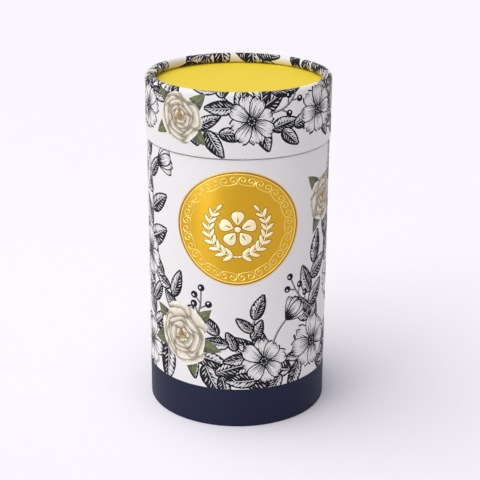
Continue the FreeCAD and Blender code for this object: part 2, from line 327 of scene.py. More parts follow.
class Design:
    """Printed shapes in layers, one for each kind of motif, the later ones over the earlier."""

    def __init__(self, seed):
        self.layers = {}
        self.layer = []
        self.draw = random.Random(seed)

    def patches(self):
        """All shapes in the order of the layers."""
        return [patch for layer in self.layers.values() for patch in layer]

    def add(self, finish, grid, at, angle=0.0, squash=1.0, lean=0.0):
        """Adds a grid turned by angle, narrowed to squash along the lean, then moved to its place."""
        press = rotation(lean) @ np.diag([squash, 1.0]) @ rotation(lean).T
        grid = grid @ rotation(angle).T @ press.T + np.array(at)
        self.layer.append(Patch(finish, grid, self.draw.random()))

    def outlined(self, finish, line, shape, *place):
        """A shape with an ink line of the given width round it."""
        self.add(INK, blade(grow=line, **shape), *place)
        self.add(finish, blade(**shape), *place)

    def leaf_shape(self, length, width, bend=None):
        """Measures of a leaf, with a bend by chance where none is given."""
        bend = self.draw.uniform(*FREE_BENDS) if bend is None else bend
        return dict(LEAF, length=length, width=width, bend=bend)

    def leaf(self, at, angle, length, width, bend=None):
        """An ink leaf."""
        self.outlined(INK_LEAF, LEAF_LINE, self.leaf_shape(length, width, bend), at, angle)

    def olive_leaf(self, at, angle, length, width):
        """A green leaf that shades what lies behind its edge."""
        shape = self.leaf_shape(length, width)
        self.add(SHADE, blade(grow=OLIVE_SHADE, **shape), at, angle)
        self.add(OLIVE, blade(**shape), at, angle)

    def sepal(self, at, angle, length):
        """A slim ink point at the foot of a flower."""
        self.add(INK, blade(length, length * SEPAL_SLIM, **SEPAL), at, angle)

    def twig(self, path, thick, thin):
        """A bent twig through a start, a middle that draws it and an end: its points and their headings."""
        start, middle, end = (np.array(point, float) for point in path)
        share = np.linspace(0, 1, TWIG_POINTS)[:, None]
        line = (1 - share) ** 2 * start + 2 * share * (1 - share) * middle + share**2 * end
        run = np.gradient(line, axis=0)
        run /= np.linalg.norm(run, axis=1)[:, None]
        side = np.stack([-run[:, 1], run[:, 0]], axis=1)
        half = (thick + (thin - thick) * share) / 2
        for finish, grow in ((INK, TWIG_LINE), (INK_TWIG, 0.0)):
            grid = np.stack([line + side * (half + grow) * across for across in (-1, 0, 1)], axis=1)
            self.add(finish, grid, (0, 0))
        return line, np.arctan2(run[:, 1], run[:, 0])

    def stem(self, start, end, bow, widths=STALK):
        """A bowed stalk from start to end, and the way that its end points."""
        start, end = np.array(start, float), np.array(end, float)
        middle = (start + end) / 2 + bow * rotation(math.pi / 2) @ (end - start)
        return self.twig((start, middle, end), *widths)[1][-1]

    def spray(self, path, leaves, length):
        """A bent twig with leaves on alternate sides and one at its end."""
        line, heading = self.twig(path, *SPRAY_TWIG)
        for number in range(leaves):
            share = SPRAY_FIRST + SPRAY_RUN * number / leaves
            spot = round(share * (len(line) - 1))
            side = 1 if number % 2 else -1
            size = length * self.draw.uniform(*LEAF_SIZES) * (1.0 - SPRAY_TAPER * share)
            width = size * LEAF_SLIM * self.draw.uniform(*LEAF_WIDTHS)
            lean = side * self.draw.uniform(*LEAF_LEANS)
            bend = -side * self.draw.uniform(*LEAF_BENDS)
            self.leaf(line[spot], heading[spot] + lean, size, width, bend)
        self.leaf(line[-1], heading[-1], length * END_LEAF, length * END_LEAF * LEAF_SLIM)

    def cosmos(self, at, radius, turn, squash, lean):
        """An open ink flower with toothed petals round a dotted button."""
        width = radius * COSMOS_FULLNESS * math.sin(math.pi / COSMOS_PETALS)
        for number in [*range(0, COSMOS_PETALS, 2), *range(1, COSMOS_PETALS, 2)]:
            angle = turn + math.tau * number / COSMOS_PETALS + self.draw.uniform(*PETAL_TURNS)
            shape = dict(
                COSMOS_PETAL,
                length=radius * self.draw.uniform(*PETAL_LENGTHS),
                width=width * self.draw.uniform(*PETAL_WIDTHS),
                bend=self.draw.uniform(*PETAL_BENDS),
            )
            self.outlined(INK_PETAL, PETAL_LINE, shape, at, angle, squash, lean)
        button = radius * COSMOS_BUTTON
        self.add(INK, blade(button, button, **ROUND) - [button / 2, 0], at, turn, squash, lean)
        for number in range(COSMOS_DOTS):
            angle = turn + math.tau * number / COSMOS_DOTS
            dot = blade(DOT_SIZE, DOT_SIZE, rows=DOT_ROWS, **ROUND) + [radius * DOT_REACH, 0]
            self.add(BLANK, dot, at, angle, squash, lean)

    def bell(self, stalk, bow, length):
        """A side-on ink flower on a stalk: a flared cup of petals with a calyx."""
        end, angle = stalk[1], self.stem(*stalk, bow)
        for lean, long, wide in BELL_PETALS:
            shape = dict(BELL_PETAL, length=length * long, width=length * wide, bend=lean * BELL_FLARE)
            self.outlined(INK_PETAL, PETAL_LINE, shape, end, angle + lean * BELL_SPREAD)
        for lean in BELL_SEPALS:
            self.sepal(end, angle + lean, length * BELL_SEPAL)

    def bud(self, stalk, bow, length):
        """A closed ink flower on a stalk."""
        end, angle = stalk[1], self.stem(*stalk, bow)
        for lean in BUD_PETALS:
            shape = dict(BUD_PETAL, length=length, width=length * BUD_WIDTH, bend=-lean * BUD_CLOSING)
            self.outlined(INK_PETAL, PETAL_LINE, shape, end, angle + lean)
        for lean in BUD_SEPALS:
            self.sepal(end, angle + lean, length * BUD_SEPAL)

    def berries(self, path, count, size):
        """A thin twig with round ink berries on short stalks, the last one in line with it."""
        line, heading = self.twig(path, *BERRY_TWIG)
        for number in range(count):
            share = BERRY_FIRST + (1 - BERRY_FIRST) * number / (count - 1)
            spot = round(share * (len(line) - 1))
            side = 1 if number % 2 else -1
            angle = heading[spot] + side * BERRY_LEAN * (number < count - 1)
            end = line[spot] + size * BERRY_STALK_LENGTH * np.array([math.cos(angle), math.sin(angle)])
            self.stem(line[spot], end, 0.0, BERRY_STALK)
            self.add(INK, blade(size, size, grow=BERRY_LINE, **ROUND), end, angle)
            glint = blade(size * GLINT_LENGTH, size * GLINT_WIDTH, rows=DOT_ROWS, **ROUND)
            self.add(BLANK, glint + [size * GLINT_ALONG, size * GLINT_ACROSS], end, angle)

    def bloom(self, at, radius, turn, squash, lean):
        """A cream double flower: rings of broad petals, each ring shading the one behind it."""
        for petals, long, wide in BLOOM_RINGS:
            ring_turn = turn + self.draw.uniform(*RING_TURNS)
            for number in range(petals):
                angle = ring_turn + math.tau * number / petals + self.draw.uniform(*BLOOM_TURNS)
                shape = dict(
                    BLOOM_PETAL,
                    length=radius * long * self.draw.uniform(*BLOOM_LENGTHS),
                    width=radius * wide * self.draw.uniform(*BLOOM_WIDTHS),
                    notch=self.draw.uniform(*BLOOM_NOTCHES),
                    bend=self.draw.uniform(*BLOOM_BENDS),
                )
                for grow in BLOOM_SHADES:
                    self.add(SHADE, blade(grow=grow, **shape), at, angle, squash, lean)
                self.add(CREAM, blade(**shape), at, angle, squash, lean)
        for number in range(POLLEN_HEADS):
            angle = math.tau * (number + self.draw.uniform(*POLLEN_TURNS)) / POLLEN_HEADS
            reach = radius * POLLEN_REACH * self.draw.uniform(*POLLEN_REACHES)
            head = blade(POLLEN_LENGTH, POLLEN_WIDTH, rows=DOT_ROWS, **ROUND) + [reach, 0]
            self.add(POLLEN, head, at, angle, squash, lean)


# Where the motifs go, kind by kind in the order of drawing.
# Sprays: start, middle and end of the twig, leaves, leaf length. Berries: twig, count, size.
# Bells and buds: start and end of the stalk, its bow, length. Olive leaves: place, angle, length, width.
# Cosmoses and blooms: place, radius, turn, squash, lean.

BODY_LAYOUT = dict(
    sprays=[
        (((-24, 21), (-40, 6), (-60, 5)), 6, 16.0),
        (((-24, 21), (-12, 4), (4, 3)), 6, 15.0),
        (((36, 15), (24, 3), (8, 4)), 5, 14.0),
        (((36, 15), (50, 6), (66, 12)), 6, 16.0),
        (((36, 15), (31, 32), (36, 50)), 5, 14.5),
        (((-47, 11), (-38, 32), (-47, 51)), 5, 15.0),
        (((-47, 51), (-40, 70), (-46, 92)), 5, 14.5),
        (((43, 76), (58, 82), (54, 99)), 5, 14.5),
        (((43, 76), (55, 62), (53, 40)), 5, 14.0),
        (((11, 12), (4, 20), (7, 31)), 4, 11.5),
        (((11, 12), (0, 15), (-8, 24)), 4, 11.0),
        (((-24, 21), (-26, 38), (-35, 44)), 4, 12.5),
    ],
    berries=[(((-20, 26), (-15, 32), (-15, 39)), 5, 2.6), (((36, 30), (27, 36), (24, 43)), 5, 2.5)],
    bells=[(((-44, 84), (-38, 91)), 0.3, 9.5), (((14, 15), (21, 29)), 0.2, 9.5)],
    buds=[(((-47, 51), (-55, 66)), -0.2, 9.5)],
    cosmoses=[
        ((11, 12), 10.5, 0.2, 0.9, 0.4),
        ((36, 15), 12.0, 0.9, 0.9, 1.0),
        ((-47, 11), 11.0, 0.5, 0.9, 2.0),
        ((54, 40), 10.5, 0.1, 0.85, 2.6),
        ((-47, 51), 11.0, 0.7, 0.88, 0.5),
        ((-54, 86), 10.0, 0.3, 0.85, 0.5),
    ],
    olive=[
        ((-24, 21), 2.6, 18, 8.0),
        ((-24, 21), 3.5, 19, 8.0),
        ((-24, 21), 5.2, 18, 7.5),
        ((-24, 21), 0.8, 19, 7.5),
        ((-24, 21), 6.1, 18, 7.5),
        ((43, 76), 2.4, 16, 7.0),
        ((43, 76), 4.1, 16, 7.0),
        ((43, 76), 5.6, 15, 6.5),
        ((43, 76), 0.7, 15, 6.5),
    ],
    blooms=[((-24, 21), 13.0, 0.3, 0.94, 0.6), ((43, 76), 10.5, 1.0, 0.9, 2.2)],
)
# A bouquet that fills the back of the body, where there is no label
BACK_LAYOUT = dict(
    sprays=[
        (((0, 66), (-12, 76), (-24, 78)), 7, 12.0),
        (((0, 66), (14, 80), (12, 95)), 7, 12.0),
        (((0, 66), (-4, 52), (-18, 48)), 6, 11.5),
        (((0, 66), (14, 58), (24, 62)), 6, 11.5),
    ],
    berries=[(((-4, 74), (-8, 84), (-4, 92)), 6, 2.4)],
    bells=[(((10, 80), (20, 88)), 0.2, 9.5)],
    buds=[(((-12, 74), (-20, 86)), 0.2, 9.0)],
    cosmoses=[((-16, 60), 9.5, 0.3, 0.9, 0.4), ((18, 72), 9.5, 0.1, 0.88, 2.0)],
    olive=[((0, 66), angle, 17, 7.5) for angle in (0.5, 2.2, 3.9, 5.4)],
    blooms=[((0, 66), 11.5, 0.2, 0.94, 1.0)],
)
LID_LAYOUT = dict(
    sprays=[
        (((5, 15), (10, 27), (21, 32)), 4, 15.0),
        (((5, 15), (-6, 23), (-12, 31)), 4, 14.5),
        (((36, 16), (44, 27), (54, 31)), 4, 15.5),
        (((36, 16), (46, 9), (58, 12)), 4, 13.5),
        (((-24, 15), (-33, 26), (-47, 30)), 4, 16.0),
        (((-46, 15), (-56, 9), (-68, 13)), 4, 13.0),
        (((5, 15), (16, 9), (23, 12)), 3, 12.0),
        (((-24, 15), (-14, 10), (-7, 10)), 3, 11.5),
        (((57, 18), (62, 29), (72, 31)), 3, 15.0),
    ],
    berries=[(((12, 18), (20, 18), (23, 25)), 4, 2.3)],
    bells=[(((-40, 24), (-47, 28)), 0.3, 9.0)],
    buds=[(((-28, 20), (-30, 28)), 0.2, 8.5)],
    cosmoses=[
        ((5, 15), 9.8, 0.3, 0.9, 0.4),
        ((36, 16), 10.2, 0.8, 0.9, 1.4),
        ((-46, 15), 9.8, 0.1, 0.88, 2.0),
    ],
    olive=[
        ((-24, 15), 5.7, 15, 7.0),
        ((-24, 15), 3.6, 15.5, 7.0),
        ((-24, 15), 0.6, 15, 7.0),
        ((-24, 15), 2.3, 14.5, 6.5),
        ((57, 18), 2.6, 14, 6.5),
        ((57, 18), 4.2, 14, 6.5),
        ((57, 18), 5.6, 14, 6.5),
    ],
    blooms=[((-24, 15), 10.2, 0.4, 0.92, 0.6), ((57, 18), 9.5, 0.1, 0.88, 2.0)],
)
DRAWN_BY = dict(
    sprays=Design.spray,
    berries=Design.berries,
    bells=Design.bell,
    buds=Design.bud,
    cosmoses=Design.cosmos,
    olive=Design.olive_leaf,
    blooms=Design.bloom,
)
BODY_SEED, LID_SEED = 5, 9


def draw_layout(design, layout, shift):
    """Draws a layout moved along the turn, each kind of motif in its own layer."""
    for kind, draw in DRAWN_BY.items():
        design.layer = design.layers.setdefault(kind, [])
        for place, *measures in layout[kind]:
            draw(design, np.array(place, float) + [shift, 0.0], *measures)


# Printed sheets: the flat design is cut into faces, rolled round the tube and folded along a profile

# Cell of the grid that says what covers a line, and the least size of a shape that may cover one
COVER_CELL = 0.25
BIG_ENOUGH = 1.5
# Step where the paper's end lies over its start, its least size in the folds, and the run over which it rises
OVERLAP, OVERLAP_LEAST, OVERLAP_RAMP = 0.16, 0.02, 5.0
# Map that a sheet is baked through and attribute that holds the print's values; height of a row on
# the map, how far the second row lies above the first, and the corner for plain faces
BAKE_MAP, PRINT_LAYER = "OFBake", "print"
BAKE_ROW, BAKE_STEP = 0.47, 0.48
PLAIN_CORNERS = [(0.0, 0.97), (0.03, 0.97), (0.03, 1.0), (0.0, 1.0)]


def hidden_lines(patches, lines, owners, low, high):
    """Which lines lie wholly under shapes drawn later, looked up in a coarse grid of the top shape."""
    columns, rows = np.ceil((high - low) / COVER_CELL).astype(int) + 1
    top = np.full((columns, rows), -1)
    for number, patch in enumerate(patches):
        if patch.finish in (INK, SHADE) or (patch.high - patch.low).min() < BIG_ENOUGH:
            continue
        first = np.maximum(((patch.low - low) / COVER_CELL).astype(int), 0)
        last = np.minimum(((patch.high - low) / COVER_CELL).astype(int) + 2, (columns, rows))
        if (last <= first).any():
            continue
        spans = [np.arange(start, end) for start, end in zip(first, last)]
        cells = np.stack(np.meshgrid(*spans, indexing="ij"), axis=-1)
        inside = patch.find(cells.reshape(-1, 2) * COVER_CELL + low)[0] < 0
        block = top[first[0]:last[0], first[1]:last[1]]
        block[inside.reshape(block.shape)] = number
    least = top.copy()
    for axis in (0, 1):
        least = np.minimum(np.minimum(least, np.roll(least, 1, axis)), np.roll(least, -1, axis))
    hidden = np.ones(len(lines), bool)
    for share in (0.0, 0.5, 1.0):
        spots = lines[:, 0] + share * (lines[:, 1] - lines[:, 0])
        cell = np.clip(np.round((spots - low) / COVER_CELL).astype(int), 0, (columns - 1, rows - 1))
        hidden &= least[cell[:, 0], cell[:, 1]] > owners
    return hidden


def patches_on(design, turn, low, high):
    """The design's shapes that touch the sheet, with those that come round from its other end."""
    patches = []
    for patch in design.patches():
        for shift in (-turn, 0, turn):
            if patch.low[0] + shift < high[0] and patch.high[0] + shift > low[0]:
                if patch.low[1] < high[1] and patch.high[1] > low[1]:
                    patches.append(patch.moved(shift))
    return patches


def cut_lines(patches, heights, low, high):
    """Triangles of the sheet, cut along the shapes' visible lines and the columns and rows of its folds."""
    sets = [patch.lines() for patch in patches]
    lines = np.concatenate(sets)
    owners = np.repeat(np.arange(len(patches)), [len(pairs) for pairs in sets])
    lines = lines[~hidden_lines(patches, lines, owners, low, high)]
    columns = np.linspace(low[0], high[0], SHEET_COLUMNS + 1)
    upright = np.array([[(x, low[1]), (x, high[1])] for x in columns])
    level = np.array([[(low[0], y), (high[0], y)] for y in heights])
    ends = np.concatenate([lines, upright, level]).reshape(-1, 2)
    pairs = np.arange(len(ends)).reshape(-1, 2).tolist()
    ends = [Vector(end) for end in ends.tolist()]
    points, _, faces, *_ = delaunay_2d_cdt(ends, pairs, [], 0, SAME_POINT)
    return np.array([tuple(point) for point in points]), np.array(faces)


def cut_sheet(design, turn, heights):
    """The flat sheet in triangles: points, corners, finish of each and the print values of its corners."""
    low, high = np.array([-turn / 2, heights[0]]), np.array([turn / 2, heights[-1]])
    patches = patches_on(design, turn, low, high)
    points, faces = cut_lines(patches, heights, low, high)
    middles = points[faces].mean(axis=1)
    within = ((middles > low) & (middles < high)).all(axis=1)
    faces, middles = faces[within], middles[within]
    order = np.argsort(middles[:, 0])
    faces, middles = faces[order], middles[order]
    owner, shade = np.full(len(faces), -1), np.zeros(len(faces))
    for number, patch in enumerate(patches):
        first, last = np.searchsorted(middles[:, 0], (patch.low[0], patch.high[0]))
        near = np.arange(first, last)
        near = near[(middles[near, 1] > patch.low[1]) & (middles[near, 1] < patch.high[1])]
        if not len(near):
            continue
        near = near[patch.find(middles[near])[0] < 0]
        if patch.finish == SHADE:
            shade[near] += 1
        else:
            owner[near], shade[near] = number, 0
    values = np.zeros((len(faces), 3, 4), np.float32)
    values[:, :, 3] = shade[:, None]
    finishes = np.zeros(len(faces), int)
    for number in np.unique(owner[owner >= 0]):
        patch, mine = patches[number], np.nonzero(owner == number)[0]
        finishes[mine] = FINISHES.index(patch.finish)
        values[mine, :, 2] = patch.seed
        if patch.finish in FOLLOWED:
            places = patch.find(points[faces[mine]].reshape(-1, 2))[1]
            values[mine, :, :2] = places.reshape(-1, 3, 2)
    return points, faces, finishes, values


def stitch(one, two, one_places, two_places):
    """Triangles of the strip between two rows of points, each sorted by its place along the strip."""
    faces, i, j = [], 0, 0
    while i + 1 < len(one) or j + 1 < len(two):
        if j + 1 == len(two) or (i + 1 < len(one) and one_places[i + 1] <= two_places[j + 1]):
            faces.append((one[i], one[i + 1], two[j]))
            i += 1
        else:
            faces.append((one[i], two[j + 1], two[j]))
            j += 1
    return faces


def bake_places(flat, faces, turn):
    """Where the sheet's corners lie on the map for baking: its front half in one row, its back half above."""
    corners = flat[faces]
    low, high = flat[:, 1].min(), flat[:, 1].max()
    # Counted in turns from the left end of the front half
    around = corners[:, :, 0] / turn + 0.25
    around += (around.mean(axis=1) < 0)[:, None]
    row = (around.mean(axis=1) > 0.5)[:, None]
    up = (corners[:, :, 1] - low) / (high - low)
    return np.stack([2 * around - row, row * BAKE_STEP + up * BAKE_ROW], axis=-1).reshape(-1, 2)


def roll(angle, radius, height):
    """Points round the axis, with angle 0 at the front."""
    return np.stack([radius * np.sin(angle), -radius * np.cos(angle), height + 0 * angle], axis=-1)


def along_profile(profile, start):
    """For each point of a profile, how much paper lies before it and the way that the paper faces."""
    steps = np.diff(profile, axis=0)
    lengths = np.linalg.norm(steps, axis=1)
    run = np.concatenate([[0.0], np.cumsum(lengths)]) + start
    sides = np.stack([steps[:, 1], -steps[:, 0]], axis=1) / lengths[:, None]
    facing = np.concatenate([sides[:1], sides[:-1] + sides[1:], sides[-1:]])
    return run, facing / np.linalg.norm(facing, axis=1)[:, None]


def row_of(chosen, places):
    """Numbers of the chosen points, sorted by their places."""
    spots = np.nonzero(chosen)[0]
    return spots[np.argsort(places[spots])]


def outer_face(flat, angle, radius, run, profile, facing):
    """The flat sheet's points rolled and folded, and the way that each faces."""
    reach, height, side, up = (np.interp(flat[:, 1], run, part) for part in (*profile.T, *facing.T))
    points, ways = roll(angle, reach, height), roll(angle, side, up)
    ways /= np.linalg.norm(ways, axis=1)[:, None]
    # At the back the sheet's right end lies over its left end, flatter where it is folded or curled
    on_wall = np.clip((reach - radius) / FOLD + 1, 0, 1)
    over = np.clip((flat[:, 0] - math.pi * radius) / OVERLAP_RAMP + 1, 0, 1)
    lift = over * (OVERLAP_LEAST + (OVERLAP - OVERLAP_LEAST) * on_wall)
    return points + ways * lift[:, None], ways


def inner_face(profile, facing, turns, first):
    """The paper's back: its points, their numbers in rows of one turn, counted from first, and its faces."""
    back = profile - facing * PAPER
    points = np.concatenate([roll(turns, reach, height) for reach, height in back])
    rows = np.arange(len(points)).reshape(len(back), len(turns)) + first
    ahead = np.roll(rows, -1, axis=1)
    faces = np.stack([rows[:-1], rows[1:], ahead[1:], ahead[:-1]], axis=-1).reshape(-1, 4)
    return points, rows, faces


def edge_strips(flat, angle, radius, ends, rings, turns):
    """Faces that close the sheet: where its end lies over its start, and from each rim to the inner face."""
    on_edge = SAME_POINT / 2
    left, right = (row_of(np.abs(angle - end) * radius < on_edge, flat[:, 1]) for end in (-math.pi, math.pi))
    strips = stitch(left.tolist(), right.tolist(), flat[left, 1], flat[right, 1])
    for number, (end, ring) in enumerate(zip(ends, rings)):
        rim = row_of(np.abs(flat[:, 1] - end) < on_edge, angle)
        closed_rim, closed_ring = [*rim.tolist(), int(rim[0])], [*ring.tolist(), int(ring[0])]
        strip = stitch(closed_rim, closed_ring, [*angle[rim], math.inf], [*turns, math.pi])
        strips += strip if number else [face[::-1] for face in strip]
    return strips


def rolled(name, design, profile, start, radius):
    """A printed paper: its flat sheet rolled to the radius and folded along the profile, with an inner face.

    start is the height on the design at which the profile begins. Gives the piece and each face's finish.
    """
    profile = np.array(profile)
    run, facing = along_profile(profile, start)
    flat, faces, finishes, values = cut_sheet(design, math.tau * radius, list(run))
    used, faces = np.unique(faces, return_inverse=True)
    flat, faces = flat[used], faces.reshape(-1, 3)
    angle = flat[:, 0] / radius
    turns = np.linspace(-math.pi, math.pi, SHEET_COLUMNS, endpoint=False)
    outer, outer_facing = outer_face(flat, angle, radius, run, profile, facing)
    inner, rows, inner_faces = inner_face(profile, facing, turns, len(outer))
    strips = edge_strips(flat, angle, radius, run[[0, -1]], rows[[0, -1]], turns)

    mesh = bpy.data.meshes.new(name)
    points = np.concatenate([outer, inner]) * MM
    mesh.from_pydata(points.tolist(), [], [*faces.tolist(), *inner_faces.tolist(), *strips])
    all_finishes = np.zeros(len(mesh.polygons), int)
    all_finishes[:len(faces)] = finishes
    corner_values = np.zeros((len(mesh.loops), 4), np.float32)
    corner_values[:len(faces) * 3] = values.reshape(-1, 4)
    layer = mesh.attributes.new(PRINT_LAYER, "FLOAT_COLOR", "CORNER")
    layer.data.foreach_set("color", corner_values.reshape(-1))

    # The plain faces, inside and at the edges, share one corner of the map for baking
    plain = [np.tile(PLAIN_CORNERS, (len(inner_faces), 1)), np.tile(PLAIN_CORNERS[:3], (len(strips), 1))]
    places = np.concatenate([bake_places(flat, faces, math.tau * radius), *plain])
    bake_map = mesh.uv_layers.new(name=BAKE_MAP)
    bake_map.uv.foreach_set("vector", places.astype(np.float32).reshape(-1))

    # The print is shaded as one smooth sheet, and its edges flat
    piece = linked(name, mesh)
    mesh.polygons.foreach_set("use_smooth", [True] * len(mesh.polygons))
    normals = np.array([tuple(corner.vector) for corner in mesh.corner_normals])
    normals[:len(faces) * 3] = outer_facing[faces.reshape(-1)]
    for polygon in mesh.polygons[len(faces) + len(inner_faces):]:
        normals[list(polygon.loop_indices)] = polygon.normal
    mesh.normals_split_custom_set(normals.tolist())
    return piece, all_finishes


# Materials

class Signal:
    """A node's output that sums, products and comparisons extend with further nodes."""

    def __init__(self, tree, socket):
        self.tree = tree
        self.socket = socket

    def calculate(self, operation, *others):
        node = self.tree.nodes.new("ShaderNodeMath")
        node.operation = operation
        for slot, value in zip(node.inputs, (self, *others)):
            plug(slot, value)
        return Signal(self.tree, node.outputs[0])

    __add__ = partialmethod(calculate, "ADD")
    __sub__ = partialmethod(calculate, "SUBTRACT")
    __mul__ = partialmethod(calculate, "MULTIPLY")
    __truediv__ = partialmethod(calculate, "DIVIDE")
    __lt__ = partialmethod(calculate, "LESS_THAN")
    floor = partialmethod(calculate, "FLOOR")
    fract = partialmethod(calculate, "FRACT")
    size = partialmethod(calculate, "ABSOLUTE")
    either = partialmethod(calculate, "MAXIMUM")
    at_most = partialmethod(calculate, "MINIMUM")

    def less_from(self, number):
        """What is left of a number when this is taken from it."""
        return self * -1.0 + number

    def off_middle(self):
        """How far this lies from the middle between two whole numbers, up to a half."""
        return (self.fract() - 0.5).size()

    def fade(self, low, high):
        """0 at low, 1 at high, level beyond them and a smooth step between."""
        node = self.tree.nodes.new("ShaderNodeMapRange")
        node.interpolation_type = "SMOOTHSTEP"
        plug(node.inputs["Value"], self)
        plug(node.inputs["From Min"], low)
        plug(node.inputs["From Max"], high)
        return Signal(self.tree, node.outputs["Result"])

    def tint(self, none, full):
        """A colour that goes from none to full as this goes from 0 to 1."""
        node = self.tree.nodes.new("ShaderNodeMix")
        node.data_type = "RGBA"
        plug(node.inputs[0], self)
        plug(node.inputs[6], none)
        plug(node.inputs[7], full)
        return Signal(self.tree, node.outputs[2])

    def times(self, colour):
        """A colour made lighter or darker by this."""
        node = self.tree.nodes.new("ShaderNodeVectorMath")
        node.operation = "SCALE"
        plug(node.inputs["Vector"], colour)
        plug(node.inputs["Scale"], self)
        return Signal(self.tree, node.outputs["Vector"])


def plug(slot, value):
    """Links a signal to a node's input, or sets the input to a plain value."""
    if isinstance(value, Signal):
        value.tree.links.new(value.socket, slot)
    else:
        slot.default_value = (*value, 1.0) if slot.type == "RGBA" else value


def srgb(red, green, blue):
    """A colour given as on a screen, 0 to 255, in the linear values that nodes take."""
    shares = (red / 255, green / 255, blue / 255)
    return tuple(((share + 0.055) / 1.055) ** 2.4 if share > 0.04 else share / 12.92 for share in shares)


def object_place(tree):
    """Places on the piece, in metres."""
    return Signal(tree, tree.nodes.new("ShaderNodeTexCoord").outputs["Object"])


def noise(place, scale, detail=2.0):
    """Soft noise over a place, from 0 to 1."""
    node = place.tree.nodes.new("ShaderNodeTexNoise")
    plug(node.inputs["Vector"], place)
    plug(node.inputs["Scale"], scale)
    plug(node.inputs["Detail"], detail)
    return Signal(place.tree, node.outputs["Fac"])


def chance(number):
    """A number from 0 to 1 that is set by another."""
    node = number.tree.nodes.new("ShaderNodeTexWhiteNoise")
    node.noise_dimensions = "1D"
    plug(node.inputs["W"], number)
    return Signal(number.tree, node.outputs["Value"])


def node_group(name, inputs, outputs, draw):
    """A node group with named sockets, those named for a colour taking one. draw makes outputs of inputs."""
    tree = bpy.data.node_groups.new(name, "ShaderNodeTree")
    for way, sockets in (("INPUT", inputs), ("OUTPUT", outputs)):
        for socket in sockets:
            kind = "NodeSocketColor" if socket.lower().endswith("colour") else "NodeSocketFloat"
            tree.interface.new_socket(socket, in_out=way, socket_type=kind)
    given = tree.nodes.new("NodeGroupInput")
    results = draw(*(Signal(tree, given.outputs[socket]) for socket in inputs))
    put_out = tree.nodes.new("NodeGroupOutput")
    for socket, result in zip(outputs, results):
        plug(put_out.inputs[socket], result)
    return tree


def placed(tree, group, values):
    """Places a node group in a material with its own values, and gives the group's outputs."""
    node = tree.nodes.new("ShaderNodeGroup")
    node.node_tree = group
    for socket, value in values.items():
        plug(node.inputs[socket], value)
    return [Signal(tree, socket) for socket in node.outputs]


# Paper grain: scale of its clouds, and what fibres and clouds add to its tone and its height
CLOUD_SCALE, GRAIN_DETAIL = 260.0, 3.0
FIBRE_TONE, CLOUD_TONE = 0.7, 0.6
FIBRE_HEIGHT, CLOUD_HEIGHT = 0.75, 0.25
# Height of the grain's bump in millimetres, and how far roughness follows its tone
GRAIN_RISE, GRAIN_SHINE = 0.05, 1.2
COAT_ROUGHNESS = 0.3
# How much a wash of thin colour covers
WASH_COVER = 0.35
# What a seed is multiplied by, for each thing that it sets
LENGTH_DRAW, TIP_DRAW, EDGE_DRAW, DASH_DRAW = 91.0, 53.0, 37.0, 61.0
WARM_DRAW, GREEN_DRAW, GREY_DRAW = 37.0, 71.0, 29.0
PETAL_START, LEAF_START, TWIG_START = 17.0, 9.0, 5.0


def paper_grain(fibre_scale, depth):
    """Fibres and cloudy unevenness of paper: a tone about 1 and a height for bump."""
    place = object_place(depth.tree)
    fibre = noise(place, fibre_scale, GRAIN_DETAIL)
    cloud = noise(place, CLOUD_SCALE, GRAIN_DETAIL)
    uneven = (fibre - 0.5) * FIBRE_TONE + (cloud - 0.5) * CLOUD_TONE
    return uneven * depth + 1.0, fibre * FIBRE_HEIGHT + cloud * CLOUD_HEIGHT


def engraved_strokes(lanes, out, seed, shortest, spread, weight, far_start, far_weight, far_draw):
    """Tapering strokes side by side in lanes: long ones from the root, short ones from the far end."""
    lane, off_middle = lanes.floor(), lanes.off_middle() * 2.0
    length = chance(lane + seed * LENGTH_DRAW) * spread + shortest
    from_root = (out / length).less_from(1.0) * weight
    from_far = (out - far_start) * (chance(lane + seed * far_draw) * far_weight)
    return (off_middle < from_root).either(off_middle < from_far), lane, off_middle


def watercolour(colour, wash_colour, shade_colour, scale, start, full, shade, strength, limit):
    """A cloudy wash over a colour, and over both the shade of the shapes that lie on top."""
    wash = noise(object_place(colour.tree), scale).fade(start, full) * WASH_COVER
    return [(shade * strength).at_most(limit).tint(wash.tint(colour, wash_colour), shade_colour)]


PAPER_GRAIN = node_group("paper grain", ["Fibre scale", "Depth"], ["Tone", "Height"], paper_grain)
ENGRAVED_STROKES = node_group(
    "engraved strokes",
    ["Lanes", "Out", "Seed", "Shortest", "Spread", "Weight", "Far start", "Far weight", "Far draw"],
    ["Strokes", "Lane", "Off middle"],
    engraved_strokes,
)
WATERCOLOUR = node_group(
    "watercolour",
    [
        "Colour", "Wash colour", "Shade colour", "Wash scale", "Wash start", "Wash full",
        "Shade", "Shade strength", "Shade limit",
    ],
    ["Colour"],
    watercolour,
)


def surface(
    name, colour, roughness=0.55, depth=0.06, bump=0.1, fibre=5200.0, metallic=0.0, specular=0.35, coat=0.0,
):
    """A material with paper grain. colour is plain, or a function that draws one in the node tree."""
    material = bpy.data.materials.new(name)
    material.use_nodes = True
    tree = material.node_tree
    shader = tree.nodes["Principled BSDF"]
    tone, height = placed(tree, PAPER_GRAIN, {"Fibre scale": fibre, "Depth": depth})
    plug(shader.inputs["Base Color"], tone.times(colour(tree) if callable(colour) else colour))
    plug(shader.inputs["Roughness"], (tone - 1.0) * GRAIN_SHINE + roughness)
    lump = tree.nodes.new("ShaderNodeBump")
    lump.inputs["Strength"].default_value = bump
    lump.inputs["Distance"].default_value = GRAIN_RISE * MM
    plug(lump.inputs["Height"], height)
    tree.links.new(lump.outputs["Normal"], shader.inputs["Normal"])
    shader.inputs["Specular IOR Level"].default_value = specular
    shader.inputs["Metallic"].default_value = metallic
    shader.inputs["Coat Weight"].default_value = coat
    shader.inputs["Coat Roughness"].default_value = COAT_ROUGHNESS
    return material


